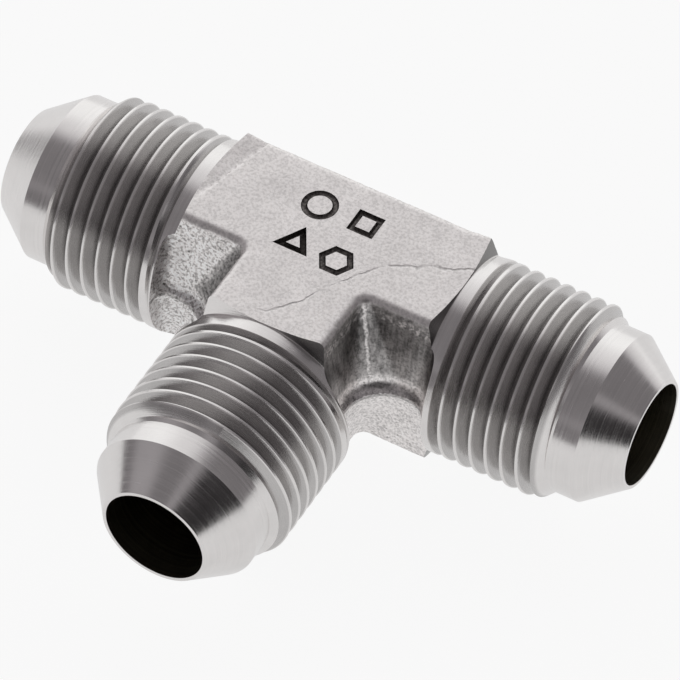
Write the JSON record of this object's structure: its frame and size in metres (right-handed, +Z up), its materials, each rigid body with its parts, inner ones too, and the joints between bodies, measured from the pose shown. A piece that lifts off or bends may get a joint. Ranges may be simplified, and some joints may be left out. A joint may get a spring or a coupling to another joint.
{
  "type": "flare tee fitting",
  "caption": "Tee fitting with a forged body, level flats and equal threaded ends with flare cones, joining tubes in a line and at a right angle to it.",
  "frame": {"origin": "where the axes of the run bore and the branch bore cross", "axes": "+X along the run, -Y along the branch, +Z up, square to the two level flats"},
  "size_m": [0.0656, 0.0423, 0.0194],
  "materials": {
    "stainless_steel": "forged faces matte and finely granular, turned ends satin with fine turning marks"
  },
  "bodies": {
    "root": {"tee_body": "stainless_steel"}
  },
  "joints": []
}
